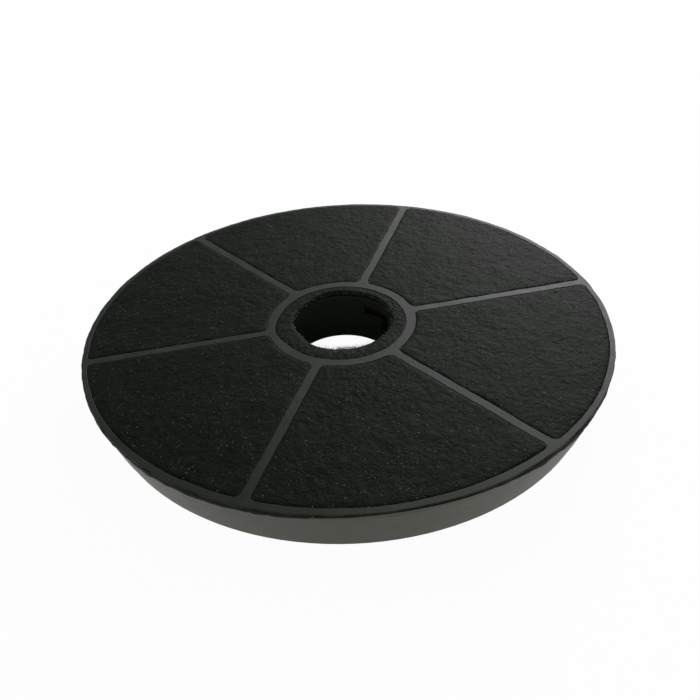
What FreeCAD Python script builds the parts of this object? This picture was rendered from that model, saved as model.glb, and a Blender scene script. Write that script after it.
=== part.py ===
import FreeCAD, Part

import math
import os

# Round charcoal filter for a cooker hood, lying with its fleece face up.
# The origin is the centre of the underside, +Z runs up the bore, and one rib of the frame lies along +X.
# All sizes are in millimetres and all angles in degrees.

# Overall size
rim_radius = 105.0
height = 22.0
sector_count = 6

# Top frame: rim ring, ribs and hub ring in one moulding
frame_thickness = 0.8
rim_ring_width = 3.2
rib_width = 3.0
hub_ring_radius = 28.0
hub_ring_width = 4.0
rib_flare = 2.2
rim_edge_bevel = 0.3

# Weld tabs under the frame, which pass through slots in the fleece and stand on the housing
weld_tab_length = 5.0
weld_tab_width = 1.0
weld_tab_slot_gap = 0.15
tab_count_per_rib = 3
tab_count_on_rim = 12

# Top fleece, pressed thinner under the frame
fleece_thickness = 1.8
fleece_pressed_thickness = 1.2
fleece_edge_inset = 0.4
fleece_bore_gap = 0.3

# Housing wall
rim_overhang = 0.4
wall_thickness = 2.0
wall_draft = 17.0
step_height = 7.5
step_depth = 0.4
foot_bevel = 2.0
foot_ring_width = 3.4
web_thickness = 2.0

# Housing floor grille
floor_thickness = 1.8
floor_recess = 0.8
grille_bar_width = 2.2
grille_ring_count = 7

# Hub with the bayonet sleeve
bore_radius = 21.0
sleeve_thickness = 2.2
hub_wall_thickness = 2.4
hub_roof_thickness = 2.0
hub_stiffener_thickness = 1.6
bore_lead_in = 0.5

# Bayonet windows through the sleeve: a slot up from the underside, then a run along the sleeve
bayonet_count = 2
bayonet_start_angle = 14.0
bayonet_lug_angle = 12.0
bayonet_turn_angle = 25.0
bayonet_ledge_height = 11.7
bayonet_run_height = 4.5

# Filling
lower_fleece_thickness = 2.0
filling_gap = 0.2

# Heights and radii that follow from the sizes above
sector_angle = 360.0 / sector_count
frame_underside = height - frame_thickness
seat_height = frame_underside - fleece_pressed_thickness
fleece_top = seat_height + fleece_thickness
wall_slope = math.tan(math.radians(wall_draft))
wall_top_radius = rim_radius - rim_overhang
wall_inner_top_radius = wall_top_radius - wall_thickness
hub_outer_radius = hub_ring_radius + hub_wall_thickness / 2
hub_inner_radius = hub_ring_radius - hub_wall_thickness / 2
sleeve_outer_radius = bore_radius + sleeve_thickness
hub_roof_height = seat_height - hub_roof_thickness
floor_top = floor_recess + floor_thickness
weld_ring_radius = wall_top_radius - wall_thickness / 2
rim_ring_inner_radius = rim_radius - rim_ring_width

AXIS = FreeCAD.Vector(0, 0, 1)
ORIGIN = FreeCAD.Vector(0, 0, 0)

# Two sizes nearer than this are the same size when an edge is looked for
match = 0.01


def wall_radius(z):
    """Outer radius of the upper wall's cone at a height."""
    return wall_top_radius - (seat_height - z) * wall_slope


def inner_wall_radius(z):
    """Inner radius of the wall at a height."""
    return wall_inner_top_radius - (seat_height - z) * wall_slope


def foot_ring_inner_radius():
    """Inner radius of the flat ring that the housing stands on."""
    return wall_radius(0.0) - step_depth - foot_bevel - foot_ring_width


def turned(profile, sweep=360.0):
    """Solid turned about the bore axis from a closed outline of (radius, height) points."""
    points = [FreeCAD.Vector(r, 0, z) for r, z in profile]
    face = Part.Face(Part.makePolygon(points + points[:1]))
    return face.revolve(ORIGIN, AXIS, sweep)


def ring(inner, outer, bottom, top):
    """Flat ring between two radii and two heights."""
    return turned([(inner, bottom), (outer, bottom), (outer, top), (inner, top)])


def bar(start, end, width, bottom, top, angle):
    """Straight radial bar between two radii, turned to its angle."""
    solid = Part.makeBox(end - start, width, top - bottom, FreeCAD.Vector(start, -width / 2, bottom))
    return spun(solid, angle)


def spun(shape, angle):
    """Copy of a shape, turned about the bore axis."""
    copy = shape.copy()
    copy.rotate(ORIGIN, AXIS, angle)
    return copy


def around(count, first=0.0):
    """Angles of a number of equal steps round the axis."""
    return [first + 360.0 * step / count for step in range(count)]


def sector(profile, side_gap, index):
    """Solid turned through one sector from an outline, clear of the webs on its two sides."""
    solid = spun(turned(profile, sector_angle), index * sector_angle)
    for side in (index, index + 1):
        web_room = bar(0.0, rim_radius, web_thickness + 2 * side_gap, 0.0, height, side * sector_angle)
        solid = solid.cut(web_room)
    return whole(solid)


def whole(shape):
    """The one solid of a boolean result, with split faces joined."""
    return shape.removeSplitter().Solids[0]


def outer_wall():
    """Tapered wall with its step, bevelled lower edge and foot ring."""
    step_radius = wall_radius(step_height)
    foot_radius = wall_radius(0.0) - step_depth
    foot_inner = foot_ring_inner_radius()
    inner_floor = inner_wall_radius(floor_top)
    profile = [
        (foot_inner, 0.0),
        (foot_radius, 0.0),
        (step_radius - step_depth, step_height),
        (step_radius, step_height),
        (wall_top_radius, seat_height),
        (wall_inner_top_radius, seat_height),
        (inner_floor, floor_top),
        (foot_inner, floor_top),
    ]
    solid = turned(profile)
    return solid.makeChamfer(foot_bevel, edges_on_circle(solid, foot_radius, 0.0))


def edges_on_circle(solid, radius, z):
    """The solid's edges on the circle of a radius about the bore axis, at a height."""
    circles = [edge for edge in solid.Edges if isinstance(edge.Curve, Part.Circle)]
    level = [edge for edge in circles if abs(edge.Curve.Center.z - z) < match]
    return [edge for edge in level if abs(edge.Curve.Radius - radius) < match]


def grille():
    """Floor grille: concentric bars carried by radial bars under the webs and midway between them."""
    inner = hub_outer_radius
    outer = foot_ring_inner_radius()
    slot_width = (outer - inner - grille_ring_count * grille_bar_width) / (grille_ring_count + 1)
    pitch = slot_width + grille_bar_width
    rings = []
    for count in range(grille_ring_count):
        start = inner + slot_width + count * pitch
        rings.append(ring(start, start + grille_bar_width, floor_recess, floor_top))
    overlap = foot_ring_width / 2
    spokes = [
        bar(inner - hub_wall_thickness / 2, outer + overlap, grille_bar_width, floor_recess, floor_top, angle)
        for angle in around(2 * sector_count)
    ]
    return rings + spokes


def webs():
    """Upright webs from the hub to the wall, one under each rib."""
    middle_of_wall = [(inner_wall_radius(z) + wall_thickness / 2, z) for z in (floor_recess, seat_height)]
    room = turned([(0.0, floor_recess)] + middle_of_wall + [(0.0, seat_height)])
    plates = [
        bar(hub_ring_radius, rim_radius, web_thickness, floor_recess, seat_height, angle)
        for angle in around(sector_count)
    ]
    return [plate.common(room) for plate in plates]


def hub():
    """Double hub wall: the bayonet sleeve, the outer wall, the roof and its stiffeners, with an open pocket below."""
    body = turned([
        (bore_radius, 0.0),
        (sleeve_outer_radius, 0.0),
        (sleeve_outer_radius, hub_roof_height),
        (hub_inner_radius, hub_roof_height),
        (hub_inner_radius, 0.0),
        (hub_outer_radius, 0.0),
        (hub_outer_radius, seat_height),
        (bore_radius + bore_lead_in, seat_height),
        (bore_radius, seat_height - bore_lead_in),
    ])
    windows_end = bayonet_start_angle + bayonet_lug_angle + bayonet_turn_angle
    stiffener_start = windows_end + bayonet_lug_angle
    wall_middle = (sleeve_thickness + hub_wall_thickness) / 4
    for angle in around(2 * bayonet_count, stiffener_start):
        body = body.fuse(bar(
            sleeve_outer_radius - wall_middle,
            hub_inner_radius + wall_middle,
            hub_stiffener_thickness,
            floor_recess,
            hub_roof_height + hub_roof_thickness / 2,
            angle,
        ))
    return body


def bayonet_window(first_angle):
    """Cutter for one bayonet window through the sleeve."""
    inner = bore_radius - sleeve_thickness
    pocket_middle = (sleeve_outer_radius + hub_inner_radius) / 2
    run_top = bayonet_ledge_height + bayonet_run_height

    def cutter(bottom, sweep):
        return turned([(inner, bottom), (pocket_middle, bottom), (pocket_middle, run_top), (inner, run_top)], sweep)

    slot = cutter(-floor_thickness, bayonet_lug_angle)
    run = cutter(bayonet_ledge_height, bayonet_lug_angle + bayonet_turn_angle)
    return spun(slot.fuse(run), first_angle)


def make_housing():
    """The housing moulding: wall, grille floor, webs and hub."""
    solid = outer_wall().multiFuse(grille() + webs() + [hub()])
    cutters = [bayonet_window(angle) for angle in around(bayonet_count, bayonet_start_angle)]
    return whole(solid.cut(cutters[0].multiFuse(cutters[1:])))


def weld_tabs(gap, top):
    """Tabs that join the frame to the webs, the hub and the wall top, grown on all sides by a gap."""
    along = weld_tab_length / 2 + gap
    across = weld_tab_width + 2 * gap
    spacing = (weld_ring_radius - hub_ring_radius) / (tab_count_per_rib + 1)
    distances = [hub_ring_radius + spacing * (step + 1) for step in range(tab_count_per_rib)]
    tabs = []
    for angle in around(sector_count):
        tabs += [bar(r - along, r + along, across, seat_height, top, angle) for r in distances]
        tabs.append(round_tab(hub_ring_radius, gap, top, angle))
    tabs += [round_tab(weld_ring_radius, gap, top, angle) for angle in around(tab_count_on_rim)]
    return tabs


def round_tab(radius, gap, top, angle):
    """Tab that follows a ring of the frame, centred on its angle."""
    half_width = weld_tab_width / 2 + gap
    half_angle = math.degrees((weld_tab_length / 2 + gap) / radius)
    profile = [
        (radius - half_width, seat_height),
        (radius + half_width, seat_height),
        (radius + half_width, top),
        (radius - half_width, top),
    ]
    return spun(turned(profile, 2 * half_angle), angle - half_angle)


def frame_plate():
    """The frame's plan at its full thickness, with the flares where its ribs meet its rings."""
    hub_inner = hub_ring_radius - hub_ring_width / 2
    hub_ring = ring(hub_inner, hub_inner + hub_ring_width, frame_underside, height)
    rib_end = rim_radius - rim_ring_width / 2
    ribs = [bar(hub_ring_radius, rib_end, rib_width, frame_underside, height, angle) for angle in around(sector_count)]
    rim = ring(rim_ring_inner_radius, rim_radius, frame_underside, height)
    plate = whole(rim.multiFuse([hub_ring] + ribs))
    return plate.makeChamfer(rib_flare, [edge for edge in plate.Edges if is_rib_corner(edge)])


def is_rib_corner(edge):
    """Whether an edge is an upright corner where a rib meets a ring."""
    low, high = edge.Vertexes[0].Point, edge.Vertexes[-1].Point
    upright = len(edge.Vertexes) == 2 and math.hypot(low.x - high.x, low.y - high.y) < match
    angle = math.degrees(math.atan2(low.y, low.x)) % sector_angle
    offset = math.hypot(low.x, low.y) * math.sin(math.radians(min(angle, sector_angle - angle)))
    return upright and abs(offset - rib_width / 2) < match


def make_top_frame():
    """Rim ring with its bevelled outer edge, ribs, hub ring, and the weld tabs below."""
    plate = frame_plate()
    plate = plate.makeChamfer(rim_edge_bevel, edges_on_circle(plate, rim_radius, height))
    return whole(plate.multiFuse(weld_tabs(0.0, frame_underside + frame_thickness / 2)))


def make_top_fleece():
    """Fleece disc with the frame pressed into it and a slot for each weld tab."""
    disc = ring(bore_radius + fleece_bore_gap, rim_radius - fleece_edge_inset, seat_height, fleece_top)
    slots = weld_tabs(weld_tab_slot_gap, height)
    return whole(disc.cut(frame_plate()).cut(slots[0].multiFuse(slots[1:])))


def filling(index, bottom, top):
    """One sector of the filling between two heights, clear of the webs, the hub and the wall."""
    inner = hub_outer_radius + filling_gap
    gap_to_slope = filling_gap / math.cos(math.radians(wall_draft))
    outer = [(inner_wall_radius(z) - gap_to_slope, z) for z in (bottom, top)]
    return sector([(inner, bottom)] + outer + [(inner, top)], filling_gap, index)


def main():
    """Write every piece to its own file."""
    os.makedirs("parts", exist_ok=True)
    pieces = {
        "housing": make_housing(),
        "top_frame": make_top_frame(),
        "top_fleece": make_top_fleece(),
    }
    fleece_line = floor_top + lower_fleece_thickness
    for index in range(sector_count):
        pieces[f"lower_fleece_{index + 1}"] = filling(index, floor_top, fleece_line)
        pieces[f"carbon_bed_{index + 1}"] = filling(index, fleece_line, seat_height)
    for name, solid in pieces.items():
        solid.exportStep(f"parts/{name}.step")


main()
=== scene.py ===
"""Looks of a round cooker hood carbon filter: fleece face, ribbed frame, plastics and a plain studio."""

from __future__ import annotations

import logging
import math
import random
from dataclasses import dataclass, replace
from enum import Enum

import bpy
import numpy as np
from mathutils import Matrix, Vector, noise


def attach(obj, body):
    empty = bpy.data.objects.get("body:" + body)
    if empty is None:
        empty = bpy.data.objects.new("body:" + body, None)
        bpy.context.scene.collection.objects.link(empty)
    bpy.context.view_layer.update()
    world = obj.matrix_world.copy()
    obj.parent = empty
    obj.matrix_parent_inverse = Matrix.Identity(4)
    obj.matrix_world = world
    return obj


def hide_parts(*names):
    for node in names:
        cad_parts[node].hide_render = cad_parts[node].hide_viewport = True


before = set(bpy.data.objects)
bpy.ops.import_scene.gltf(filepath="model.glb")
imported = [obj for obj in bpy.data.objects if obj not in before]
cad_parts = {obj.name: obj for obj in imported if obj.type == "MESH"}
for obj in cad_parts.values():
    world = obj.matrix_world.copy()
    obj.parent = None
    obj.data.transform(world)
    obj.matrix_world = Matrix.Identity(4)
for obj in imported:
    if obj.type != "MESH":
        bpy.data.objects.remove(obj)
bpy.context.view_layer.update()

log = logging.getLogger("filter")

Point = tuple[float, float]
Triple = tuple[float, float, float]
Colour = Triple
Place = Triple
Waves = tuple[Triple, ...]
Faces = list[tuple[int, ...]]
Object = bpy.types.Object
Material = bpy.types.Material
Node = bpy.types.Node
Socket = bpy.types.NodeSocket
Inputs = dict[str | int, "Socket | float | tuple[float, ...]"]
Layer = tuple[Socket, float]

MM = 0.001
BODY = "root"
SECTORS = 6
SECTOR_ANGLE = math.tau / SECTORS
SHARP_ANGLE = math.radians(40)
GRAIN_DETAIL = 3.0
GRAIN_ROUGHNESS = 0.6
DOT_CORE = 0.4
BAND_CORE = 0.3


class Slot(Enum):
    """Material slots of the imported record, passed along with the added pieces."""

    HOUSING = "housing_plastic"
    FRAME = "frame_plastic"
    FLEECE = "fleece"


class Shade(Enum):
    """How a piece's faces are shaded."""

    SMOOTH = "smooth"
    ROUNDED_EDGES = "rounded edges"


@dataclass(frozen=True)
class Swell:
    """A rise at one angle round the bore that falls off on both sides, with its angles in degrees."""

    height: float
    middle: float
    half_width: float
    steepness: int = 2

    def at(self, angle: float) -> float:
        """Return the rise at an angle in radians."""
        away = (math.degrees(angle) - self.middle + 180) % 360 - 180
        return self.height * math.exp(-abs(away / self.half_width) ** self.steepness)


def polar(radius: float, angle: float) -> Point:
    """Return x and y of the place at a radius and an angle in radians."""
    return (radius * math.cos(angle), radius * math.sin(angle))


def clamped(value: float) -> float:
    """Return a value held between 0 and 1."""
    return max(0.0, min(1.0, value))


def quarter_round(share: float) -> float:
    """Return the height of a quarter circle, which is 0 at 0 and 1 at 1."""
    return math.sqrt(1 - (1 - share) ** 2)


def ripple(place: Point, waves: Waves) -> float:
    """Return smooth random waviness at a place: waves of a height and a size, each in a layer of noise."""
    return sum(height * noise.noise(Vector((*place, layer)) / size) for height, size, layer in waves)


def add_object(name: str, data: bpy.types.ID) -> Object:
    """Make an object and put it into the scene.

    Args:
        name: Its name.
        data: What it shows.

    Returns:
        The object.
    """
    made = bpy.data.objects.new(name, data)
    bpy.context.scene.collection.objects.link(made)
    return made


def add_piece(name: str, points: np.ndarray, faces: Faces, shade: Shade) -> Object:
    """Make an object from points in millimetres.

    Args:
        name: Name of the piece.
        points: One row of x, y, z for each point.
        faces: Corner numbers of each face.
        shade: How the faces are shaded.

    Returns:
        The object, linked to the scene.
    """
    mesh = bpy.data.meshes.new(name)
    mesh.from_pydata((points * MM).tolist(), [], faces)
    mesh.validate()
    mesh.shade_smooth()
    if shade is Shade.ROUNDED_EDGES:
        mesh.set_sharp_from_angle(angle=SHARP_ANGLE)
    return add_object(name, mesh)


def rings_of(angles: list[float], sections: list[list[Point]]) -> list[list[Place]]:
    """Return rings of points round the bore from the section, as radii and heights, at each angle."""
    rows = zip(*sections)
    return [[(*polar(radius, angle), z) for angle, (radius, z) in zip(angles, row)] for row in rows]


def closed_rings(name: str, rings: list[list[Place]], shade: Shade) -> Object:
    """Make a closed sheet from rings of points that run round the bore.

    Args:
        name: Name of the piece.
        rings: Rings with the same number of points, the last joined to the first.
        shade: How the faces are shaded.

    Returns:
        The object.
    """
    points = np.array(rings).reshape(-1, 3)
    around = len(rings[0])
    faces = []
    for ring in range(len(rings)):
        here, there = ring * around, (ring + 1) % len(rings) * around
        for step in range(around):
            following = (step + 1) % around
            faces.append((here + step, here + following, there + following, there + step))
    return add_piece(name, points, faces, shade)


def finish_piece(piece: Object, material: Material, slot: Slot, *nodes: str) -> None:
    """Dress a piece, let it ride on the body and hide the solids that it stands for.

    Args:
        piece: The piece.
        material: Its material.
        slot: Slot of the record that the piece stands for; not used.
        nodes: Names of the solids that it stands for.
    """
    piece.data.materials.append(material)
    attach(piece, BODY)
    if nodes:
        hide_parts(*nodes)
    log.info("%s: %d faces", piece.name, len(piece.data.polygons))


def dress_solid(name: str, material: Material) -> None:
    """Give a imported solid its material.

    Args:
        name: Name of the solid.
        material: The material.
    """
    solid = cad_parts[name]
    solid.data.materials.clear()
    solid.data.materials.append(material)
    log.info("%s: packed solid", name)


class Wiring:
    """A tree of shader nodes while it is put together."""

    def __init__(self, tree: bpy.types.NodeTree) -> None:
        """Start with an empty tree."""
        self.tree = tree
        self.tree.nodes.clear()

    def fill(self, node: Node, inputs: Inputs) -> None:
        """Link or set a node's inputs.

        Args:
            node: The node.
            inputs: A socket to link or a plain value to set, for each input's name or number.
        """
        for name, value in inputs.items():
            if isinstance(value, Socket):
                self.tree.links.new(value, node.inputs[name])
            else:
                node.inputs[name].default_value = value

    def add(self, kind: str, inputs: Inputs, **settings: str) -> Node:
        """Add a node.

        Args:
            kind: Its kind, without the word ShaderNode in front.
            inputs: What goes into its inputs.
            settings: Values of its own properties.

        Returns:
            The node.
        """
        node = self.tree.nodes.new(f"ShaderNode{kind}")
        for name, value in settings.items():
            setattr(node, name, value)
        self.fill(node, inputs)
        return node

    def together(self, operation: str, first: Socket, second: Socket | float = 0.0) -> Socket:
        """Return the result of one Math node."""
        return self.add("Math", {0: first, 1: second}, operation=operation).outputs[0]

    def levels(self, value: Socket, black: float, white: float) -> Socket:
        """Return a value stretched so that one level becomes 0 and another 1, and held between the two."""
        return self.add("MapRange", {"Value": value, "From Min": black, "From Max": white}).outputs["Result"]

    def blend(self, output: str, share: Socket, first: Node, second: Node) -> None:
        """Send a blend of two shaders to an output node, the first at a share of 0 and the second at 1."""
        mix = self.add("MixShader", {0: share, 1: first.outputs[0], 2: second.outputs[0]})
        self.add(output, {"Surface": mix.outputs[0]})


@dataclass(frozen=True)
class Dots:
    """Scattered dots of some strength in a material, in millimetres; the shift moves their pattern."""

    spacing: float
    radius: float
    share: float = 1.0
    shift: float = 0.0


class Recipe(Wiring):
    """Shader nodes of one material with one Principled surface."""

    def __init__(self, name: str) -> None:
        """Start the material.

        Args:
            name: Its name.
        """
        self.material = bpy.data.materials.new(name)
        self.material.use_nodes = True
        super().__init__(self.material.node_tree)
        self.surface = self.add("BsdfPrincipled", {})
        self.add("OutputMaterial", {"Surface": self.surface.outputs["BSDF"]})
        self.place = self.add("TexCoord", {}).outputs["Object"]

    def grain(self, size: float, stretch: Triple = (1, 1, 1), turn: float = 0.0) -> Socket:
        """Return cloudy noise from 0 to 1.

        Args:
            size: Size of a feature in millimetres.
            stretch: How many times longer it is along each axis.
            turn: Angle of the stretch in degrees.

        Returns:
            The noise value.
        """
        inputs = {"Vector": self.place, "Rotation": (0.0, 0.0, math.radians(turn)), "Scale": stretch}
        mapping = self.add("Mapping", inputs, vector_type="TEXTURE")
        inputs = {
            "Vector": mapping.outputs["Vector"],
            "Scale": 1 / (size * MM),
            "Detail": GRAIN_DETAIL,
            "Roughness": GRAIN_ROUGHNESS,
        }
        return self.add("TexNoise", inputs).outputs[0]

    def cells(self, spacing: float, shift: float = 0.0) -> Socket:
        """Return the distance to the nearest of many scattered places.

        Args:
            spacing: Mean distance between two of them in millimetres.
            shift: Moves the pattern, in metres.

        Returns:
            The distance as a share of the spacing.
        """
        mapping = self.add("Mapping", {"Vector": self.place, "Location": (shift, shift, 0.0)})
        inputs = {"Vector": mapping.outputs["Vector"], "Scale": 1 / (spacing * MM)}
        return self.add("TexVoronoi", inputs).outputs["Distance"]

    def dots(self, dots: Dots) -> Socket:
        """Return a mask of scattered dots.

        Args:
            dots: The dots.

        Returns:
            The mask, which is their share in a dot's middle and 0 outside.
        """
        away = self.cells(dots.spacing, dots.shift)
        mask = self.levels(away, dots.radius / dots.spacing, DOT_CORE * dots.radius / dots.spacing)
        return self.together("MULTIPLY", mask, dots.share)

    def from_axis(self) -> Socket:
        """Return the distance from the bore's axis in millimetres."""
        flat = self.add("VectorMath", {0: self.place, 1: (1 / MM, 1 / MM, 0.0)}, operation="MULTIPLY")
        return self.add("VectorMath", {0: flat.outputs["Vector"]}, operation="LENGTH").outputs["Value"]

    def height(self) -> Socket:
        """Return the height above the underside in millimetres."""
        parts = self.add("SeparateXYZ", {0: self.place})
        return self.together("MULTIPLY", parts.outputs["Z"], 1 / MM)

    def band(self, value: Socket, middle: float, half_width: float) -> Socket:
        """Return a mask that is 1 where a value is at one level and 0 half a width away from it."""
        away = self.together("ABSOLUTE", self.together("SUBTRACT", value, middle))
        return self.levels(away, half_width, BAND_CORE * half_width)

    def spread(self, value: Socket, low: float, high: float) -> Socket:
        """Return a value from 0 to 1 mapped onto a range."""
        return self.add("MapRange", {"Value": value, "To Min": low, "To Max": high}).outputs["Result"]

    def tint(self, mask: Socket, under: Socket | Colour, over: Colour) -> Socket:
        """Return one colour laid over another where a mask is 1."""
        under = (*under, 1.0) if isinstance(under, tuple) else under
        return self.add("Mix", {"Factor": mask, 6: under, 7: (*over, 1.0)}, data_type="RGBA").outputs[2]

    def finish(self, colour: Socket, roughness: Socket | float, specular: float, *layers: Layer) -> Material:
        """Dress the surface.

        Args:
            colour: Its colour.
            roughness: Its roughness.
            specular: Level of its mirror reflection.
            layers: Height from 0 to 1 and depth in millimetres of each layer of its relief.

        Returns:
            The material.
        """
        looks = {"Base Color": colour, "Roughness": roughness, "Specular IOR Level": specular}
        normal = {}
        for height, depth in layers:
            bump = self.add("Bump", {"Distance": depth * MM, "Height": height, **normal})
            normal = {"Normal": bump.outputs["Normal"]}
        self.fill(self.surface, looks | normal)
        return self.material


@dataclass(frozen=True)
class MouldedPlastic:
    """Dark moulded plastic with flow marks, fine grain and dust, and on the housing painted shade in the
    bore and under the wall's step, lifted on a bayonet ledge as painted light; lengths are in millimetres.
    """

    name: str
    base: Colour
    pale: Colour
    dust: Colour
    gloss: Point
    specular: float
    grain_depth: float
    # Painted shade: inside these radii the bore takes the dark shade colour, since light does not reach into
    # it.
    bore_radii: Point = (0.0, 0.0)
    painted_shade_colour: Colour = (0.0, 0.0, 0.0)
    bore_roughness: float = 0.0
    # Painted light: on this ledge the bore's painted shade is held back by a share, which makes a lit
    # streak.
    ledge_height: float = 0.0
    ledge_line: float = 0.15
    ledge_radii: Point = (0.0, 0.0)
    ledge_painted_light_share: float = 0.0
    # Painted shade along a line under the wall's step, at this height and width.
    painted_step_shade_height: float = 0.0
    painted_step_shade_width: float = 0.0
    flow_size: float = 14.0
    flow_stretch: Triple = (4, 4, 0.35)
    flow_depth: float = 0.06
    patch_size: float = 5.0
    grain_size: float = 0.35
    pale_levels: Point = (0.12, 0.42)
    dust_dots: Dots = Dots(spacing=1.9, radius=0.14)

    def make(self) -> Material:
        """Return the material."""
        recipe = Recipe(self.name)
        flow = recipe.grain(self.flow_size, self.flow_stretch)
        patches = recipe.grain(self.patch_size)
        grain = recipe.grain(self.grain_size)
        shading = recipe.levels(recipe.together("MULTIPLY", flow, patches), *self.pale_levels)
        colour = recipe.tint(shading, self.base, self.pale)
        colour = recipe.tint(recipe.dots(self.dust_dots), colour, self.dust)
        roughness = recipe.spread(patches, *self.gloss)
        # Painted shade in the bore, lifted on a bayonet ledge as painted light.
        if any(self.bore_radii):
            height = recipe.height()
            bore_shade_mask = self.bore_shade_mask(recipe, height)
            colour = recipe.tint(bore_shade_mask, colour, self.painted_shade_colour)
            dull = recipe.spread(bore_shade_mask, 0.0, self.bore_roughness)
            roughness = recipe.together("MAXIMUM", roughness, dull)
            # Painted shade along a line under the wall's step, in the bore's shade colour and broken up by
            # patches.
            painted_step_shade = recipe.band(height, self.painted_step_shade_height, self.painted_step_shade_width)
            colour = recipe.tint(recipe.together("MULTIPLY", painted_step_shade, patches), colour, self.painted_shade_colour)
        layers = ((flow, self.flow_depth), (grain, self.grain_depth))
        return recipe.finish(colour, roughness, self.specular, *layers)

    def bore_shade_mask(self, recipe: Recipe, height: Socket) -> Socket:
        """Return the mask of the painted shade in the bore, which is weaker on the ledge of a bayonet run as
        painted light.

        Args:
            recipe: The material's nodes.
            height: Height above the underside.

        Returns:
            The mask.
        """
        distance = recipe.from_axis()
        inside = recipe.levels(distance, *self.bore_radii)
        # Painted light on the bayonet ledge, where the painted shade is held back.
        behind = recipe.levels(distance, *self.ledge_radii)
        ledge = recipe.together("MULTIPLY", recipe.band(height, self.ledge_height, self.ledge_line), behind)
        ledge = recipe.together("MULTIPLY", ledge, self.ledge_painted_light_share)
        return recipe.together("SUBTRACT", inside, recipe.together("MULTIPLY", inside, ledge))


@dataclass(frozen=True)
class NonWovenFleece:
    """Dark needled fleece of crossing fibres, with pale dots of lint that partly stand for painted glints,
    pin holes darkened with painted shade, and painted light on its low cut edges; lengths are in
    millimetres.
    """

    name: str
    dark: Colour
    light: Colour
    # Pale dots of lint, partly painted glints.
    speck_and_glint: Colour
    # Painted shade in the pin holes.
    hole: Colour
    # Painted light that lifts the shade on the fleece's low cut edges, between these heights.
    painted_edge_light: Colour
    painted_edge_light_heights: Point
    roughness: float
    specular: float
    fibre_size: float = 0.35
    fibre_stretch: Triple = (6, 1, 1)
    fibre_turns: Triple = (20, 80, 140)
    tuft_size: float = 0.9
    clump_size: float = 2.4
    cloud_size: float = 9.0
    light_levels: Point = (0.30, 0.70)
    top_sheet_heights: Point = (15.0, 19.0)
    # Pin holes, darkened with painted shade and sunk in the relief.
    holes: Dots = Dots(spacing=1.9, radius=0.5, share=0.6, shift=0.037)
    # Pale dots of lint, partly painted glints.
    faint_specks_and_glints: Dots = Dots(spacing=1.25, radius=0.3, share=0.25, shift=0.011)
    specks_and_glints: Dots = Dots(spacing=2.6, radius=0.36)
    cloud_depth: float = 0.5
    clump_depth: float = 0.35
    tuft_depth: float = 0.12
    fibre_depth: float = 0.045
    hole_depth: float = 0.2

    def make(self) -> Material:
        """Return the material."""
        recipe = Recipe(self.name)
        ways = [recipe.grain(self.fibre_size, self.fibre_stretch, turn) for turn in self.fibre_turns]
        fibres = recipe.together("MAXIMUM", recipe.together("MAXIMUM", ways[0], ways[1]), ways[2])
        tufts = recipe.grain(self.tuft_size)
        clumps = recipe.grain(self.clump_size)
        clouds = recipe.grain(self.cloud_size)
        shading = recipe.together("ADD", recipe.together("MULTIPLY", tufts, clumps), clouds)
        shading = recipe.levels(recipe.together("MULTIPLY", fibres, shading), *self.light_levels)
        colour = recipe.tint(shading, self.dark, self.light)
        height = recipe.height()
        # Painted light that lifts the shade on the low cut edges of the top sheet.
        on_top_sheet = recipe.levels(height, *self.top_sheet_heights)
        low = recipe.levels(height, *self.painted_edge_light_heights)
        colour = recipe.tint(recipe.together("MULTIPLY", low, on_top_sheet), colour, self.painted_edge_light)
        # Painted shade in the pin holes, which also sink in the relief.
        holes = recipe.dots(self.holes)
        colour = recipe.tint(holes, colour, self.hole)
        # Pale dots of lint, partly painted glints.
        for specks_and_glints in (self.faint_specks_and_glints, self.specks_and_glints):
            colour = recipe.tint(recipe.dots(specks_and_glints), colour, self.speck_and_glint)
        layers = (
            (clouds, self.cloud_depth),
            (clumps, self.clump_depth),
            (tufts, self.tuft_depth),
            (fibres, self.fibre_depth),
            (holes, -self.hole_depth),
        )
        return recipe.finish(colour, self.roughness, self.specular, *layers)


@dataclass(frozen=True)
class CarbonGranules:
    """Loose black granules, seen as rounded grains with painted shade in the gaps between them; lengths are
    in millimetres.
    """

    name: str
    dark: Colour
    light: Colour
    grain_size: float
    roughness: float
    specular: float = 0.5
    # Painted shade in the gaps between granules.
    painted_gap_shade_levels: Point = (0.75, 0.1)
    roundness: float = 0.4

    def make(self) -> Material:
        """Return the material."""
        recipe = Recipe(self.name)
        # Painted shade in the gaps between granules.
        grains = recipe.levels(recipe.cells(self.grain_size), *self.painted_gap_shade_levels)
        colour = recipe.tint(grains, self.dark, self.light)
        relief = (grains, self.roundness * self.grain_size)
        return recipe.finish(colour, self.roughness, self.specular, relief)


HOUSING_PLASTIC = MouldedPlastic(
    name="satin_housing_plastic",
    base=(0.031, 0.031, 0.0190),
    pale=(0.045, 0.045, 0.0290),
    dust=(0.07, 0.07, 0.06),
    gloss=(0.38, 0.52),
    specular=0.202,
    grain_depth=0.015,
    # Painted shade in the bore and under the wall's step.
    bore_radii=(30.0, 29.4),
    painted_shade_colour=(0.003, 0.0065, 0.003),
    bore_roughness=0.85,
    # Painted light on a bayonet ledge in the bore.
    ledge_height=11.7,
    ledge_radii=(21.1, 21.311),
    ledge_painted_light_share=0.4,
    # Painted shade line under the wall's step.
    painted_step_shade_height=7.1,
    painted_step_shade_width=0.8,
)
FRAME_PLASTIC = MouldedPlastic(
    name="matt_frame_plastic",
    base=(0.0120, 0.0150, 0.0121),
    pale=(0.0255, 0.0302, 0.0255),
    dust=(0.06, 0.065, 0.06),
    gloss=(0.40, 0.58),
    specular=0.082,
    grain_depth=0.04,
)
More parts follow.
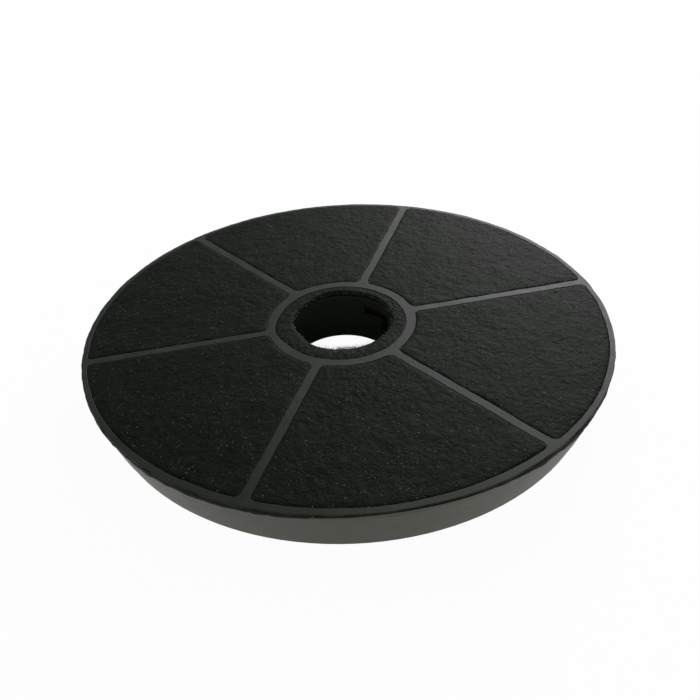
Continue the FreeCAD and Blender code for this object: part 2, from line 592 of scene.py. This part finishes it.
FACE_FLEECE = NonWovenFleece(
    name="charcoal_fleece",
    dark=(0.0030, 0.0050, 0.0029),
    light=(0.0078, 0.0116, 0.0076),
    # Pale dots of lint, partly painted glints.
    speck_and_glint=(0.070, 0.078, 0.068),
    # Painted shade in the pin holes.
    hole=(0.0006, 0.0008, 0.0006),
    # Painted light on the fleece's low cut edges.
    painted_edge_light=(0.0105, 0.0125, 0.0100),
    painted_edge_light_heights=(21.6, 21.3),
    roughness=0.56,
    specular=0.026,
)
# Painted highlight: the loose fibres are much paler than the fleece, standing for fibres that catch the
# light.
FIBRES_PAINTED_LIT = replace(
    FACE_FLEECE,
    name="fibres_painted_lit",
    dark=(0.100, 0.105, 0.097),
    light=(0.290, 0.300, 0.280),
    painted_edge_light=(0.330, 0.335, 0.320),
)
CARBON = CarbonGranules(
    name="carbon_granules",
    # The dark colour is painted shade in the gaps between granules.
    dark=(0.004, 0.004, 0.004),
    light=(0.02, 0.02, 0.021),
    grain_size=1.6,
    roughness=0.6,
)


@dataclass
class RibbedFrame:
    """The frame on the fleece face: rim ring, six ribs and hub ring in one moulding, in millimetres."""

    rim_radius: float = 105.0
    opening_outer: float = 101.8
    opening_inner: float = 30.0
    hub_ring_radius: float = 28.0
    hole_radius: float = 26.0
    rib_width: float = 3.5
    top: float = 22.0
    thickness: float = 0.8
    flare: float = 2.8
    flare_steps: int = 8
    edge_round: float = 0.2
    point_spacing: float = 0.5
    waviness: float = 0.24
    outward_waves: Waves = ((1.0, 9.0, 3.0), (0.5, 3.0, 8.0), (0.4, 1.1, 12.0))
    sideways_waves: Waves = ((1.0, 9.0, 15.0), (0.5, 3.0, 21.0), (0.4, 1.1, 25.0))
    rim_reach: float = 1.0
    rim_inset: float = 0.15
    front_inset: Swell = Swell(0.15, 264, 46, 4)
    pressed_inset: Swell = Swell(0.45, 268, 12)
    rim_drift: float = 0.9
    front_drift: Swell = Swell(-1.1, 262, 45, 4)
    drift_from: float = 90.0
    drift_full: float = 98.0
    hub_bite: Swell = Swell(1.2, 180, 17)
    lip_width: float = 0.75
    lip_depth: float = 0.12
    lip_draw: float = 0.8
    lip_limit: float = 1.1
    lip_circle: float = 30.0
    lip_waves: Waves = ((1.3, 17.0, 5.0), (0.7, 4.0, 5.0), (0.35, 1.3, 5.0))
    burrs: tuple[Swell, ...] = (Swell(1.0, 229.8, 0.35), Swell(1.0, 235.6, 0.35))

    def to_edge(self, radius: float, angle: float) -> float:
        """Return the distance to the nearest edge of the frame.

        Args:
            radius: Distance from the bore's axis.
            angle: Angle from the first rib, in radians.

        Returns:
            The distance, positive on the bare fleece and negative under the frame.
        """
        place = Vector(polar(radius, angle))
        place -= self.unevenness(place)
        radius, angle = place.length, math.atan2(place.y, place.x)
        if radius < self.hub_ring_radius:
            return self.hole_radius - radius
        turn = angle % SECTOR_ANGLE
        to_rib = radius * math.sin(min(turn, SECTOR_ANGLE - turn)) - self.rib_width / 2
        return min(to_rib, self.opening_outer - radius, radius - self.opening_inner)

    def line(self, start: Point, end: Point) -> list[Point]:
        """Return evenly spaced points on a straight edge, without its end."""
        count = max(2, round(math.dist(start, end) / self.point_spacing))
        return np.linspace(start, end, count, endpoint=False).tolist()

    def arc(self, radius: float, first: float, last: float) -> list[Point]:
        """Return evenly spaced points on an arc from one angle to another, without its end."""
        count = max(8, round(abs(last - first) * radius / self.point_spacing))
        return [polar(radius, angle) for angle in np.linspace(first, last, count, endpoint=False)]

    def flared(self, before: Point, corner: Point, after: Point) -> list[Point]:
        """Return the hollow curve that joins two edges at a corner.

        Args:
            before: Where it leaves the first edge.
            corner: Where the two edges would meet.
            after: Where it reaches the second edge.

        Returns:
            The curve's points, without its end.
        """
        share = np.linspace(0, 1, self.flare_steps, endpoint=False)[:, None]
        leaving = (1 - share) * before + share * corner
        reaching = (1 - share) * corner + share * after
        return ((1 - share) * leaving + share * reaching).tolist()

    def opening(self, index: int) -> list[Point]:
        """Return the outline of the opening between two ribs.

        Args:
            index: Number of the opening, from 0.

        Returns:
            The outline's points.
        """
        inner, outer = self.opening_inner, self.opening_outer
        start, end = inner + self.flare, outer - self.flare

        def turn(radius: float, flare: float = 0.0) -> float:
            """Return the angle from a rib's middle to its edge, and by a flare past it."""
            return math.asin(self.rib_width / 2 / radius) + flare / radius

        def first(radius: float, flare: float = 0.0) -> Point:
            """Return a point beside the opening's first rib."""
            return polar(radius, turn(radius, flare))

        def last(radius: float, flare: float = 0.0) -> Point:
            """Return a point beside the opening's last rib."""
            return polar(radius, SECTOR_ANGLE - turn(radius, flare))

        inner_turn, outer_turn = turn(inner, self.flare), turn(outer, self.flare)
        points = self.line(first(start), first(end))
        points += self.flared(first(end), first(outer), first(outer, self.flare))
        points += self.arc(outer, outer_turn, SECTOR_ANGLE - outer_turn)
        points += self.flared(last(outer, self.flare), last(outer), last(end))
        points += self.line(last(end), last(start))
        points += self.flared(last(start), last(inner), last(inner, self.flare))
        points += self.arc(inner, SECTOR_ANGLE - inner_turn, inner_turn)
        points += self.flared(first(inner, self.flare), first(inner), first(start))
        rotation = Matrix.Rotation(index * SECTOR_ANGLE, 2)
        return [tuple(rotation @ Vector(point)) for point in points]

    def unevenness(self, place: Vector) -> Vector:
        """Return how far the frame's edge at a place stands off its true line.

        Args:
            place: The place on the true line.

        Returns:
            The distance along x and y.
        """
        outward = place.normalized()
        sideways = Vector((-outward.y, outward.x))
        angle = math.atan2(place.y, place.x)
        away, along = ripple(place, self.outward_waves), ripple(place, self.sideways_waves)
        moved = self.waviness * (outward * away + sideways * along)
        if place.length > self.rim_radius - self.rim_reach:
            return moved - outward * self.inset(angle)
        if place.length < self.hub_ring_radius:
            return moved + outward * self.hub_bite.at(angle)
        share = (place.length - self.drift_from) / (self.drift_full - self.drift_from)
        drift = self.rim_drift + self.front_drift.at(angle)
        return moved + outward * drift * clamped(share)

    def inset(self, angle: float) -> float:
        """Return how far the rim ring's outer edge stays inside the rim, most of all at the front."""
        return self.rim_inset + self.front_inset.at(angle) + self.pressed_inset.at(angle)

    def lip(self, angle: float) -> float:
        """Return how far the rim's lower edge hangs at an angle, below 0 where it is drawn up."""
        swell = ripple(polar(self.lip_circle, angle), self.lip_waves) - self.lip_draw
        return min(self.lip_limit, self.lip_depth * swell + sum(burr.at(angle) for burr in self.burrs))

    def build(self) -> Object:
        """Return the frame as one plate with rounded edges."""
        curve = bpy.data.curves.new("frame_outline", "CURVE")
        curve.dimensions = "2D"
        curve.fill_mode = "BOTH"
        curve.extrude = self.thickness / 2 - self.edge_round
        curve.bevel_depth = self.edge_round
        curve.bevel_resolution = 2
        curve.offset = -self.edge_round
        circles = [self.arc(radius, 0.0, math.tau) for radius in (self.rim_radius, self.hole_radius)]
        for outline in circles + [self.opening(index) for index in range(SECTORS)]:
            spline = curve.splines.new("POLY")
            spline.points.add(len(outline) - 1)
            spline.use_cyclic_u = True
            for corner, place in zip(spline.points, map(Vector, outline)):
                corner.co = (*(place + self.unevenness(place)), 0.0, 1.0)
        drawn = add_object("frame_outline", curve)
        bpy.context.view_layer.update()
        plate = drawn.evaluated_get(bpy.context.evaluated_depsgraph_get()).to_mesh()
        points = np.array([corner.co for corner in plate.vertices])
        faces = [tuple(face.vertices) for face in plate.polygons]
        bpy.data.objects.remove(drawn)
        middle = self.top - self.thickness / 2
        points[:, 2] += middle
        for point in points:
            angle = math.atan2(point[1], point[0])
            outermost = math.hypot(point[0], point[1]) > self.rim_radius - self.inset(angle) - self.lip_width
            if outermost and point[2] < middle:
                point[2] -= self.lip(angle)
        return add_piece("ribbed_frame", points, faces, Shade.ROUNDED_EDGES)


@dataclass
class WallBead:
    """Thin bead of plastic that the weld has squeezed up along the wall's top edge, in millimetres."""

    radius: float = 104.6
    seat: float = 20.0
    width: float = 0.22
    foot: tuple[Point, ...] = ((-0.22, -0.15), (-0.12, -0.42), (0.01, 0.0))
    head: tuple[Point, ...] = ((0.0, -0.05), (-0.22, 0.0))
    rise: float = 0.03
    least_rise: float = 0.02
    front_rise: float = 1.6
    front: Swell = Swell(1.0, 268, 18)
    lean: float = -0.2
    circle: float = 40.0
    waves: Waves = ((0.16, 6.0, 70.0), (0.12, 1.5, 70.0))
    points_round: int = 900

    def top(self, angle: float) -> float:
        """Return the height of the bead's top at an angle."""
        uneven = ripple(polar(self.circle, angle), self.waves)
        return self.seat + max(self.least_rise, self.rise + self.front_rise * self.front.at(angle) + uneven)

    def inner_radius(self, angle: float) -> float:
        """Return the radius of the bead's inner side at its top."""
        return self.radius - self.width - self.lean * (self.top(angle) - self.seat)

    def section(self, angle: float) -> list[Point]:
        """Return the bead's section at an angle.

        Args:
            angle: Angle from the first rib, in radians.

        Returns:
            Radius and height of each point, from the foot's inner side outwards and up.
        """
        top = self.top(angle)
        outside = self.radius - self.lean * (top - self.seat)
        points = [(self.radius + out, self.seat + up) for out, up in self.foot]
        return points + [(outside + out, top + up) for out, up in self.head]

    def build(self) -> Object:
        """Return the bead as a closed ring."""
        angles = np.linspace(0, math.tau, self.points_round, endpoint=False).tolist()
        rings = rings_of(angles, [self.section(angle) for angle in angles])
        return closed_rings("wall_bead", rings, Shade.ROUNDED_EDGES)


@dataclass
class FleeceFace:
    """The round fleece under the frame, in millimetres and the flat sizes in metres."""

    frame_shape: RibbedFrame
    bead: WallBead
    flat_side: float = 0.2092
    flat_area: float = 0.03295
    base: float = 20.02
    crown: float = 22.12
    hub_crown: float = 21.9
    slope_from: float = 24.0
    slope_length: float = 6.0
    slope_depth: float = 0.45
    edge_height: float = 21.72
    pressed: float = 21.16
    overlap: float = 0.12
    shoulder: float = 1.6
    swell_waves: Waves = ((0.20, 16.0, 0.0), (0.10, 4.0, 0.0))
    tuft_waves: Waves = ((0.09, 1.3, 0.0), (0.06, 0.7, 0.0))
    near_rib: tuple[float, ...] = (0.9, 1.2, 1.42, 1.58, 1.74, 1.92, 2.15, 2.5, 3.0, 3.8)
    between_ribs: int = 78
    near_rim: tuple[float, ...] = (
        103.1, 102.9, 102.7, 102.5, 102.3, 102.1, 101.9, 101.7, 101.5, 101.3, 101.1, 100.8, 100.4, 99.8,
    )
    field: Triple = (99.0, 32.0, -0.88)
    near_hub: tuple[float, ...] = (
        31.4, 30.8, 30.4, 30.2, 30.0, 29.8, 29.5, 28.4, 27.4, 27.1, 26.8, 26.5, 26.2, 26.0, 25.8, 25.5, 25.2,
    )
    to_bore: int = 14
    bottom: tuple[float, ...] = (30.0, 45.0, 60.0, 80.0, 95.0, 103.0)
    hole_radius: float = 20.2
    hole_centre: Point = (0.6, 1.9)
    hole_circle: float = 20.0
    hole_waves: Waves = ((0.5, 9.0, 9.0), (0.3, 3.0, 9.0), (0.15, 0.9, 9.0))
    hole_bites: tuple[Swell, ...] = (Swell(1.3, 125, 18), Swell(0.9, 188, 34))
    hole_round: float = 0.9
    hole_section: tuple[Point, ...] = (
        (0.6, 0.10), (0.35, 0.27), (0.15, 0.52), (0.02, 0.85), (0.0, 1.2), (0.3, 2.0), (0.5, 2.0),
    )
    outer_radius: float = 104.88
    pressed_in: float = 0.9
    bulge: float = 0.1
    rim_top: float = 21.45
    rim_circle: float = 60.0
    rim_waves: Waves = ((0.30, 5.0, 40.0), (0.20, 1.2, 40.0))
    rim_side: tuple[Point, ...] = ((0.0, 0.3), (0.0, 0.65), (0.10, 0.9))
    hang: float = 0.5
    hang_swells: tuple[Swell, ...] = (Swell(0.2, 226, 11), Swell(0.4, 306, 8))
    hang_waves: Waves = ((0.7, 2.5, 40.0),)
    hang_inset: float = 0.08
    overhang: float = 0.06
    lift: float = 0.01
    gap: float = 0.05
    tuck: float = 0.3

    def height(self, radius: float, angle: float) -> float:
        """Return the height of the fleece's face.

        Args:
            radius: Distance from the bore's axis.
            angle: Angle from the first rib, in radians.

        Returns:
            The height in millimetres.
        """
        depth = self.frame_shape.to_edge(radius, angle)
        if depth <= -self.overlap:
            return self.pressed
        place = polar(radius, angle)
        share = clamped(depth / self.shoulder)
        top = self.crown
        if radius < self.frame_shape.hub_ring_radius:
            over_bore = max(0.0, self.slope_from - radius) / self.slope_length
            top = self.hub_crown - self.slope_depth * over_bore ** 2
        rise = (top + ripple(place, self.swell_waves) - self.edge_height) * quarter_round(share)
        return self.edge_height + rise + ripple(place, self.tuft_waves) * share

    def on_face(self, radius: float, angle: float) -> Place:
        """Return the point of the fleece's face at a radius and an angle."""
        return (*polar(radius, angle), self.height(radius, angle))

    def angles(self, radius: float) -> list[float]:
        """Return the angles of one ring of points, close together along the ribs' edges.

        Args:
            radius: The ring's radius.

        Returns:
            The angles in radians.
        """
        turns = [math.asin(distance / radius) for distance in self.near_rib]
        first, last = turns[-1], SECTOR_ANGLE - turns[-1]
        middle = [first + (last - first) * step / self.between_ribs for step in range(1, self.between_ribs)]
        sector = [0.0, *turns, *middle, *[SECTOR_ANGLE - turn for turn in reversed(turns)]]
        return [index * SECTOR_ANGLE + turn for index in range(SECTORS) for turn in sector]

    def bore_edge(self, angle: float) -> float:
        """Return the radius of the hole, which is cut by hand and not quite central.

        Args:
            angle: Angle from the first rib, in radians.

        Returns:
            The radius at that angle.
        """
        x, y = self.hole_centre
        along = x * math.cos(angle) + y * math.sin(angle)
        across = y * math.cos(angle) - x * math.sin(angle)
        circle = along + math.sqrt(self.hole_radius ** 2 - across ** 2)
        circle -= sum(bite.at(angle) for bite in self.hole_bites)
        return circle + ripple(polar(self.hole_circle, angle), self.hole_waves)

    def rim_section(self, angle: float) -> list[Point]:
        """Return the squeezed outer edge at an angle, from the bottom up.

        Args:
            angle: Angle from the first rib, in radians.

        Returns:
            Radius and height of each point.
        """
        place = polar(self.rim_circle, angle)
        uneven = ripple(place, self.rim_waves)
        swells = sum(swell.at(angle) for swell in self.hang_swells)
        hang = self.hang + swells + ripple(place, self.hang_waves)
        press = self.bead.front.at(angle)
        inside = self.bead.inner_radius(angle) - self.gap
        low = max(self.base, self.bead.top(angle))
        outer = self.outer_radius - self.pressed_in * press ** 2 + min(self.bulge, uneven)
        ring_edge = self.frame_shape.rim_radius - self.frame_shape.inset(angle)
        return [
            (inside, self.base),
            (inside, low),
            (min(outer, self.bead.radius + self.overhang), low + self.lift),
            (outer - self.hang_inset, low - max(0.0, hang) * (1 - press)),
            *[(outer - inset, low + share * (self.rim_top - low)) for inset, share in self.rim_side],
            (max(outer - self.tuck, ring_edge), self.rim_top + uneven),
            (ring_edge - self.gap, self.rim_top),
            (ring_edge - self.tuck, self.pressed),
        ]

    def build(self) -> Object:
        """Return the fleece as one closed sheet."""
        rim_angles = self.angles(self.outer_radius)
        rings = rings_of(rim_angles, [self.rim_section(angle) for angle in rim_angles])
        for radius in [*self.near_rim, *np.arange(*self.field).tolist(), *self.near_hub]:
            rings.append([self.on_face(radius, angle) for angle in self.angles(radius)])
        start = self.near_hub[-1]
        hub_angles = self.angles(start)
        edges = [self.bore_edge(angle) for angle in hub_angles]
        brinks = [self.height(edge + self.hole_round, angle) for angle, edge in zip(hub_angles, edges)]
        for share in np.linspace(0, 1, self.to_bore + 1)[1:].tolist():
            rings.append([
                self.on_face(start + (edge + self.hole_round - start) * share, angle)
                for angle, edge in zip(hub_angles, edges)
            ])
        rings += rings_of(hub_angles, [
            [(edge + inset, max(brink - drop, self.base)) for inset, drop in self.hole_section]
            for edge, brink in zip(edges, brinks)
        ])
        for radius in self.bottom:
            rings.append([(*polar(radius, angle), self.base) for angle in self.angles(radius)])
        return closed_rings("fleece_face", rings, Shade.SMOOTH)


@dataclass
class LowerFleece:
    """Six cuts of fleece on the grille floor, in millimetres and the flat sizes in metres."""

    flat_width: float = 0.0957
    flat_length: float = 0.0714
    flat_area: float = 0.00432
    inner_radius: float = 29.45
    outer_radius: float = 97.0
    web_side: float = 1.25
    floor_top: float = 2.6
    floor_gap: float = 0.03
    top: float = 4.6
    top_gap: float = 0.15
    swell: float = 0.7
    shoulder: float = 2.0
    waves: Waves = ((0.1, 2.0, 50.0),)
    grille_radius: float = 92.6
    bar_start: float = 35.21
    bar_width: float = 2.2
    bar_pitch: float = 8.21
    rows: int = 90
    across: int = 56

    def to_bar(self, radius: float, angle: float) -> float:
        """Return the distance to the nearest bar of the grille.

        Args:
            radius: Distance from the bore's axis.
            angle: Angle from the first rib, in radians.

        Returns:
            The distance in millimetres, zero or less over a bar.
        """
        half_sector = SECTOR_ANGLE / 2
        turn = angle % half_sector
        to_spoke = radius * math.sin(min(turn, half_sector - turn)) - self.bar_width / 2
        phase = (radius - self.bar_start) % self.bar_pitch
        to_ring = min(phase - self.bar_width, self.bar_pitch - phase)
        if phase < self.bar_width:
            to_ring = 0.0
        if radius < self.bar_start:
            to_ring = min(self.bar_start - radius, radius - self.inner_radius)
        return min(to_spoke, to_ring, self.grille_radius - radius)

    def underside(self, radius: float, angle: float) -> float:
        """Return the height of the fleece's lower face.

        Args:
            radius: Distance from the bore's axis.
            angle: Angle from the first rib, in radians.

        Returns:
            The height in millimetres.
        """
        share = clamped(self.to_bar(radius, angle) / self.shoulder)
        sag = self.swell * quarter_round(share) + share * ripple(polar(radius, angle), self.waves)
        return self.floor_top + self.floor_gap - sag

    def build(self, index: int) -> Object:
        """Return one cut as a closed sheet.

        Args:
            index: Number of the cut, from 0.

        Returns:
            The object.
        """
        lower, upper = [], []
        for radius in np.linspace(self.inner_radius, self.outer_radius, self.rows + 1):
            edge = math.asin(self.web_side / radius)
            for step in range(self.across + 1):
                angle = index * SECTOR_ANGLE + edge + (SECTOR_ANGLE - 2 * edge) * step / self.across
                lower.append((*polar(radius, angle), self.underside(radius, angle)))
                upper.append((*polar(radius, angle), self.top - self.top_gap))
        columns = self.across + 1
        faces = []
        for row in range(self.rows):
            for column in range(self.across):
                first = row * columns + column
                quad = (first, first + 1, first + columns + 1, first + columns)
                faces.append(quad)
                faces.append(tuple(len(lower) + corner for corner in reversed(quad)))
        border = list(range(self.across))
        border += [row * columns + self.across for row in range(self.rows)]
        border += [self.rows * columns + column for column in range(self.across, 0, -1)]
        border += [row * columns for row in range(self.rows, 0, -1)]
        for corner, following in zip(border, border[1:] + border[:1]):
            faces.append((following, corner, len(lower) + corner, len(lower) + following))
        points = np.array(lower + upper)
        return add_piece(f"lower_fleece_cut_{index + 1}", points, faces, Shade.ROUNDED_EDGES)


@dataclass
class LooseFibres:
    """Short fibres that stand out of the fleece, thickest at the front of its hole, in millimetres."""

    face: FleeceFace
    seed: int = 11
    thickness: float = 0.075
    taper: float = 0.15
    steps: int = 4
    sides: int = 3
    curl: float = 0.45
    curl_up: float = 0.3
    lift: float = 0.02
    on_face: int = 900
    face_radii: Point = (31.5, 100.5)
    face_clearance: float = 0.8
    face_slope: float = 0.12
    face_lengths: Point = (0.5, 2.2)
    at_bore: int = 320
    bore_insets: Point = (0.05, 0.9)
    bore_drops: Point = (0.2, 1.1)
    bore_slopes: Point = (-0.5, 0.8)
    bore_lengths: Point = (0.4, 1.3)
    at_front: int = 520
    front_middle: float = 262.0
    front_spread: float = 13.0
    front_inset: float = 0.1
    front_depth: float = 2.4
    front_turn: float = 0.9
    front_slopes: Point = (0.0, 0.6)
    front_lengths: Point = (0.6, 2.2)

    def __post_init__(self) -> None:
        """Start the random draws."""
        self.rng = random.Random(self.seed)

    def fibre(self, start: Place, heading: Place, length: float) -> list[Vector]:
        """Return the points along one curled fibre.

        Args:
            start: Its root.
            heading: Direction in which it leaves the fleece.
            length: Its length.

        Returns:
            The points, one more than it has steps.
        """
        points = [Vector(start)]
        direction = Vector(heading).normalized()
        for _ in range(self.steps):
            curl = Vector([self.rng.gauss(0, spread) for spread in (1, 1, self.curl_up)]) * self.curl
            direction = (direction + curl).normalized()
            points.append(points[-1] + direction * length / self.steps)
        return points

    def face_fibre(self) -> list[Vector] | None:
        """Return one fibre on the face, or nothing where the place drawn is on the frame."""
        inner, outer = self.face_radii
        radius = math.sqrt(self.rng.uniform(inner ** 2, outer ** 2))
        angle = self.rng.uniform(0, math.tau)
        if self.face.frame_shape.to_edge(radius, angle) < self.face_clearance:
            return None
        root = (*polar(radius, angle), self.face.height(radius, angle) + self.lift)
        heading = (*polar(1.0, self.rng.uniform(0, math.tau)), self.face_slope)
        return self.fibre(root, heading, self.rng.uniform(*self.face_lengths))

    def bore_fibre(self) -> list[Vector]:
        """Return one fibre that stands out of the hole's cut edge."""
        angle = self.rng.uniform(0, math.tau)
        edge = self.face.bore_edge(angle)
        radius = edge + self.rng.uniform(*self.bore_insets)
        z = self.face.height(edge + self.face.hole_round, angle) - self.rng.uniform(*self.bore_drops)
        heading = (-math.cos(angle), -math.sin(angle), self.rng.uniform(*self.bore_slopes))
        return self.fibre((*polar(radius, angle), z), heading, self.rng.uniform(*self.bore_lengths))

    def front_fibre(self) -> list[Vector]:
        """Return one fibre of the fuzz at the front of the hole."""
        angle = math.radians(self.rng.gauss(self.front_middle, self.front_spread))
        edge = self.face.bore_edge(angle)
        radius = edge + self.front_inset + abs(self.rng.gauss(0, self.front_depth))
        z = self.face.height(max(radius, edge + self.face.hole_round), angle) + self.lift
        way = angle + math.pi + self.rng.gauss(0, self.front_turn)
        heading = (*polar(1.0, way), self.rng.uniform(*self.front_slopes))
        return self.fibre((*polar(radius, angle), z), heading, self.rng.uniform(*self.front_lengths))

    def thread(self, middles: list[Vector], first: int) -> tuple[list[Place], Faces]:
        """Return a thin thread along a fibre.

        Args:
            middles: The points along the fibre.
            first: Number of the thread's first point in the mesh.

        Returns:
            Its points and its faces.
        """
        points = []
        for step, middle in enumerate(middles):
            half = self.thickness / 2 * (1.0 - self.taper * step)
            along = (middles[min(step + 1, self.steps)] - middles[max(step - 1, 0)]).normalized()
            side = along.cross(Vector((0.3, 0.2, 1.0))).normalized()
            up = along.cross(side)
            for corner in range(self.sides):
                turn = math.tau * corner / self.sides
                points.append(tuple(middle + (side * math.cos(turn) + up * math.sin(turn)) * half))
        faces = []
        for step in range(self.steps):
            ring = first + step * self.sides
            for corner in range(self.sides):
                here, following = ring + corner, ring + (corner + 1) % self.sides
                faces.append((here, following, following + self.sides, here + self.sides))
        last = first + self.steps * self.sides
        faces.append(tuple(range(first + self.sides - 1, first - 1, -1)))
        faces.append(tuple(range(last, last + self.sides)))
        return points, faces

    def build(self) -> Object:
        """Return all fibres as one mesh of thin three-sided threads."""
        fibres = []
        while len(fibres) < self.on_face:
            drawn = self.face_fibre()
            if drawn:
                fibres.append(drawn)
        fibres += [self.bore_fibre() for _ in range(self.at_bore)]
        fibres += [self.front_fibre() for _ in range(self.at_front)]
        points, faces = [], []
        for fibre in fibres:
            new_points, new_faces = self.thread(fibre, len(points))
            points += new_points
            faces += new_faces
        return add_piece("loose_fibres", np.array(points), faces, Shade.SMOOTH)


@dataclass(frozen=True)
class Softbox:
    """A square lamp that points at the object, in metres and watts."""

    name: str
    place: Place
    side: float
    power: float


@dataclass
class Studio:
    """Plain white floor, soft lamps and the camera of the photograph, in metres."""

    lens: float = 41.85
    sensor: float = 36.0
    shift: Point = (0.0773, 0.0051)
    clip_start: float = 0.01
    camera_place: Place = (-0.0503, -0.2691, 0.2087)
    camera_right: Triple = (0.9824, -0.1694, -0.0783)
    camera_forward: Triple = (0.0908, 0.8004, -0.5926)
    floor_half_side: float = 6.0
    floor_colour: Colour = (0.9, 0.9, 0.9)
    paleness: float = 0.965
    sky: float = 0.35
    footprint: Point = (0.0893, 0.0987)
    horizon: Point = (0.462, 0.378)
    softboxes: tuple[Softbox, ...] = (
        Softbox("back_softbox", (0.80, 1.25, 0.75), 0.7, 26.0),
        Softbox("front_softbox", (-0.3, -1.5, 0.75), 1.0, 6.0),
    )

    def add_camera(self) -> None:
        """Add the camera where the photograph was taken from."""
        data = bpy.data.cameras.new("camera")
        data.lens = self.lens
        data.sensor_width = self.sensor
        data.shift_x, data.shift_y = self.shift
        data.clip_start = self.clip_start
        camera = add_object("camera", data)
        back = -Vector(self.camera_forward).normalized()
        up = back.cross(Vector(self.camera_right)).normalized()
        right = up.cross(back)
        turn = Matrix((right, up, back)).transposed().to_4x4()
        camera.matrix_world = Matrix.Translation(self.camera_place) @ turn
        bpy.context.scene.camera = camera

    def add_floor(self) -> None:
        """Add the floor, which looks white but keeps the object's shadow."""
        side = self.floor_half_side
        mesh = bpy.data.meshes.new("floor")
        corners = [(-side, -side, 0), (side, -side, 0), (side, side, 0), (-side, side, 0)]
        mesh.from_pydata(corners, [], [(0, 1, 2, 3)])
        floor = add_object("floor", mesh)
        material = bpy.data.materials.new("white_floor")
        material.use_nodes = True
        wiring = Wiring(material.node_tree)
        matt = wiring.add("BsdfDiffuse", {"Color": (*self.floor_colour, 1.0)})
        white = wiring.add("Emission", {})
        place = wiring.add("TexCoord", {}).outputs["Object"]
        distance = wiring.add("VectorMath", {0: place}, operation="LENGTH").outputs["Value"]
        clear = wiring.levels(distance, *self.footprint)
        wiring.blend("OutputMaterial", self.seen(wiring, clear, self.paleness), matt, white)
        mesh.materials.append(material)

    def seen(self, wiring: Wiring, clear: Socket, share: float) -> Socket:
        """Return a share for camera rays, and for reflected and refracted rays where the place is clear.

        Args:
            wiring: Nodes to add to.
            clear: 1 where reflections and clear materials see the white too.
            share: The share.

        Returns:
            The value, 0 for all other rays.
        """
        path = wiring.add("LightPath", {}).outputs
        rays = wiring.together("MAXIMUM", path["Is Glossy Ray"], path["Is Transmission Ray"])
        rays = wiring.together("MAXIMUM", path["Is Camera Ray"], wiring.together("MULTIPLY", rays, clear))
        return wiring.together("MULTIPLY", rays, share)

    def add_sky(self) -> None:
        """Add the even light from all sides, which looks white to the camera and white near the horizon."""
        world = bpy.data.worlds.new("studio")
        world.use_nodes = True
        wiring = Wiring(world.node_tree)
        soft, white = (
            wiring.add("Background", {"Color": (1.0, 1.0, 1.0, 1.0), "Strength": strength})
            for strength in (self.sky, 1.0)
        )
        direction = wiring.add("TexCoord", {}).outputs["Generated"]
        low = wiring.levels(wiring.add("SeparateXYZ", {0: direction}).outputs["Z"], *self.horizon)
        wiring.blend("OutputWorld", self.seen(wiring, low, 1.0), soft, white)
        bpy.context.scene.world = world

    def add_lamp(self, softbox: Softbox) -> None:
        """Add one softbox.

        Args:
            softbox: The softbox.
        """
        data = bpy.data.lights.new(softbox.name, "AREA")
        data.size = softbox.side
        data.energy = softbox.power
        lamp = add_object(softbox.name, data)
        lamp.location = softbox.place
        lamp.rotation_euler = (-Vector(softbox.place)).to_track_quat("-Z", "Y").to_euler()

    def build(self) -> None:
        """Add the whole studio."""
        self.add_camera()
        self.add_floor()
        self.add_sky()
        for softbox in self.softboxes:
            self.add_lamp(softbox)


def main() -> None:
    """Build and dress every piece."""
    logging.basicConfig(level=logging.INFO)
    bpy.context.scene.view_settings.view_transform = "Standard"
    Studio().build()

    fleece = FACE_FLEECE.make()
    ribbed = RibbedFrame()
    finish_piece(ribbed.build(), FRAME_PLASTIC.make(), Slot.FRAME, "top_frame")

    bead = WallBead()
    face = FleeceFace(ribbed, bead)
    sheet = face.build()
    finish_piece(sheet, fleece, Slot.FLEECE, "top_fleece")
    fibres = LooseFibres(face).build()
    # Pale fibres with painted highlight.
    finish_piece(fibres, FIBRES_PAINTED_LIT.make(), Slot.FLEECE)

    lower = LowerFleece()
    for index in range(SECTORS):
        cut = lower.build(index)
        finish_piece(cut, fleece, Slot.FLEECE, f"lower_fleece_{index + 1}")

    housing = HOUSING_PLASTIC.make()
    dress_solid("housing", housing)
    finish_piece(bead.build(), housing, Slot.HOUSING)
    carbon = CARBON.make()
    for index in range(SECTORS):
        dress_solid(f"carbon_bed_{index + 1}", carbon)


if __name__ == "__main__":
    main()
